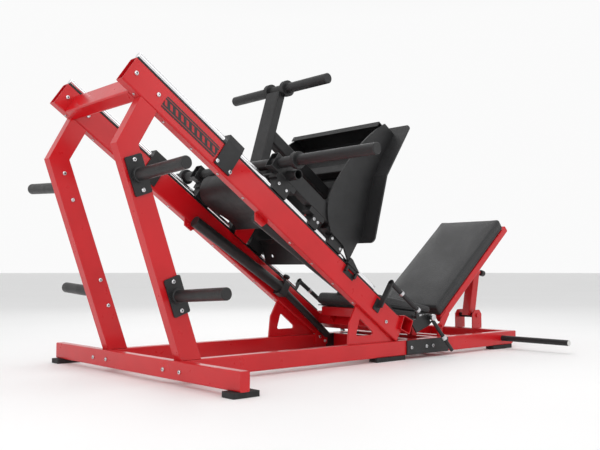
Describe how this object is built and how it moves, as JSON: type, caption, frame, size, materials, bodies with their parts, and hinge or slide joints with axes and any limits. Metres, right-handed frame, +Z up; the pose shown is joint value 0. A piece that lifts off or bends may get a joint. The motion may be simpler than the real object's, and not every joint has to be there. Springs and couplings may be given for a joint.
{
  "type": "leg press machine",
  "caption": "Plate-loaded inclined leg press: a sled with a folded foot plate rolls on two shafts above a seat and an adjustable backrest.",
  "frame": {"origin": "bottom centre of the whole machine, on the floor", "axes": "+X from the rear crossbar to the seat end, +Y to the sitter's right-hand side, +Z up"},
  "size_m": [2.8066, 1.844, 1.409],
  "materials": {
    "rear_crossbar": "gloss powder coat",
    "base_rails": "gloss powder coat",
    "front_rails": "gloss powder coat",
    "splice_plates": "fine texture powder coat",
    "base_crossmembers": "gloss powder coat",
    "rubber_feet": "matt",
    "front_bars": "fine texture powder coat",
    "front_bar_caps": "matt",
    "uprights": "gloss powder coat",
    "rail_toe_tube": "gloss powder coat",
    "rail_beam_left": "gloss powder coat",
    "rail_beam_right": "gloss powder coat",
    "shaft_supports": "fine texture powder coat",
    "guide_shafts": "polished",
    "rail_gussets": "gloss powder coat",
    "top_cross_tube": "gloss powder coat",
    "upper_stops": "fine texture powder coat",
    "storage_pegs": "fine texture powder coat",
    "rail_stays": "fine texture powder coat",
    "stay_brackets": "gloss powder coat",
    "stay_clamps": "fine texture powder coat",
    "nameplates": "matt",
    "seat_pad": "grained upholstery",
    "seat_plate": "fine texture powder coat",
    "seat_frame": "gloss powder coat",
    "side_brackets": "fine texture powder coat",
    "hand_grips": "matt",
    "bright_collars": "satin",
    "stop_brackets": "fine texture powder coat",
    "backrest_lugs": "gloss powder coat",
    "strut_clevis": "gloss powder coat",
    "frame_bolts": "satin",
    "sled_sides": "fine texture powder coat",
    "horn_bar": "fine texture powder coat",
    "sled_cross_tubes": "fine texture powder coat",
    "sled_post": "fine texture powder coat",
    "t_bar": "fine texture powder coat",
    "foot_plate": "fine texture powder coat",
    "foot_plate_frame": "fine texture powder coat",
    "post_brace": "fine texture powder coat",
    "bearing_blocks": "fine texture powder coat",
    "carriage_plates": "fine texture powder coat",
    "sled_skirt": "fine texture powder coat",
    "sled_lugs": "gloss powder coat",
    "sled_cover": "fine texture powder coat",
    "sled_bolts": "satin",
    "release_shaft": "satin",
    "release_levers": "matt",
    "lever_collars": "satin",
    "safety_stop_left": "fine texture powder coat",
    "safety_stop_right": "fine texture powder coat",
    "backrest_frame": "gloss powder coat",
    "back_pad": "grained upholstery",
    "strut_outer": "gloss powder coat",
    "strut_sleeve": "fine texture powder coat",
    "strut_inner": "gloss powder coat",
    "strut_pin": "matt",
    "stay_pin_left": "matt",
    "stay_pin_right": "matt"
  },
  "bodies": {
    "frame": {"rear_crossbar": "rear_crossbar", "base_rails": "base_rails", "front_rails": "front_rails", "splice_plates": "splice_plates", "base_crossmembers": "base_crossmembers", "rubber_feet": "rubber_feet", "front_bars": "front_bars", "front_bar_caps": "front_bar_caps", "uprights": "uprights", "rail_toe_tube": "rail_toe_tube", "rail_beam_left": "rail_beam_left", "rail_beam_right": "rail_beam_right", "shaft_supports": "shaft_supports", "guide_shafts": "guide_shafts", "rail_gussets": "rail_gussets", "top_cross_tube": "top_cross_tube", "upper_stops": "upper_stops", "storage_pegs": "storage_pegs", "rail_stays": "rail_stays", "stay_brackets": "stay_brackets", "stay_clamps": "stay_clamps", "nameplates": "nameplates", "seat_pad": "seat_pad", "seat_plate": "seat_plate", "seat_frame": "seat_frame", "side_brackets": "side_brackets", "hand_grips": "hand_grips", "bright_collars": "bright_collars", "stop_brackets": "stop_brackets", "backrest_lugs": "backrest_lugs", "strut_clevis": "strut_clevis", "frame_bolts": "frame_bolts"},
    "sled": {"sled_sides": "sled_sides", "horn_bar": "horn_bar", "sled_cross_tubes": "sled_cross_tubes", "sled_post": "sled_post", "t_bar": "t_bar", "foot_plate": "foot_plate", "foot_plate_frame": "foot_plate_frame", "post_brace": "post_brace", "bearing_blocks": "bearing_blocks", "carriage_plates": "carriage_plates", "sled_skirt": "sled_skirt", "sled_lugs": "sled_lugs", "sled_cover": "sled_cover", "sled_bolts": "sled_bolts"},
    "release": {"release_shaft": "release_shaft", "release_levers": "release_levers", "lever_collars": "lever_collars"},
    "catch_left": {"safety_stop_left": "safety_stop_left"},
    "catch_right": {"safety_stop_right": "safety_stop_right"},
    "backrest": {"backrest_frame": "backrest_frame", "back_pad": "back_pad"},
    "strut": {"strut_outer": "strut_outer", "strut_sleeve": "strut_sleeve"},
    "strut_rod": {"strut_inner": "strut_inner"},
    "strut_plunger": {"strut_pin": "strut_pin"},
    "stay_plunger_left": {"stay_pin_left": "stay_pin_left"},
    "stay_plunger_right": {"stay_pin_right": "stay_pin_right"}
  },
  "joints": [
    {"name": "sled_slide", "type": "slide", "parent": "frame", "child": "sled", "axis": [-0.8183, 0, 0.5748], "range_m": [0, 0.215]},
    {"name": "release_hinge", "type": "hinge", "parent": "frame", "child": "release", "pos_m": [0.43274, 0, 0.212], "axis": [0, -1, 0], "range_deg": [0, 30]},
    {"name": "catch_hinge_left", "type": "hinge", "parent": "frame", "child": "catch_left", "pos_m": [-0.15652, -0.336, 0.47768], "axis": [0.8183, 0, -0.5748], "range_deg": [0, 90]},
    {"name": "catch_hinge_right", "type": "hinge", "parent": "frame", "child": "catch_right", "pos_m": [-0.15652, 0.336, 0.47768], "axis": [-0.8183, 0, 0.5748], "range_deg": [0, 90]},
    {"name": "backrest_hinge", "type": "hinge", "parent": "frame", "child": "backrest", "pos_m": [0.68274, 0, 0.15], "axis": [0, -1, 0], "range_deg": [0, 10]},
    {"name": "strut_hinge", "type": "hinge", "parent": "frame", "child": "strut", "pos_m": [1.23774, 0, 0.178], "axis": [0, -1, 0], "range_deg": [0, 11.6]},
    {"name": "strut_slide", "type": "slide", "parent": "strut", "child": "strut_rod", "axis": [0.1993, 0, 0.9799], "range_m": [0, 0.09628]},
    {"name": "strut_plunger_slide", "type": "slide", "parent": "strut", "child": "strut_plunger", "axis": [0.9799, 0, -0.1993], "range_m": [0, 0.012], "stiffness_N_per_m": 900, "springref_m": -0.006},
    {"name": "stay_plunger_left_slide", "type": "slide", "parent": "frame", "child": "stay_plunger_left", "axis": [0.5206, 0, 0.8538], "range_m": [0, 0.012], "stiffness_N_per_m": 900, "springref_m": -0.006},
    {"name": "stay_plunger_right_slide", "type": "slide", "parent": "frame", "child": "stay_plunger_right", "axis": [0.5206, 0, 0.8538], "range_m": [0, 0.012], "stiffness_N_per_m": 900, "springref_m": -0.006}
  ],
  "couplings": [
    {"joint": "catch_hinge_left", "follows": "release_hinge", "ratio": 3},
    {"joint": "catch_hinge_right", "follows": "release_hinge", "ratio": 3},
    {"joint": "strut_hinge", "follows": "backrest_hinge", "ratio": 1.1553},
    {"joint": "strut_slide", "follows": "backrest_hinge", "m_per_rad": 0.5488}
  ]
}
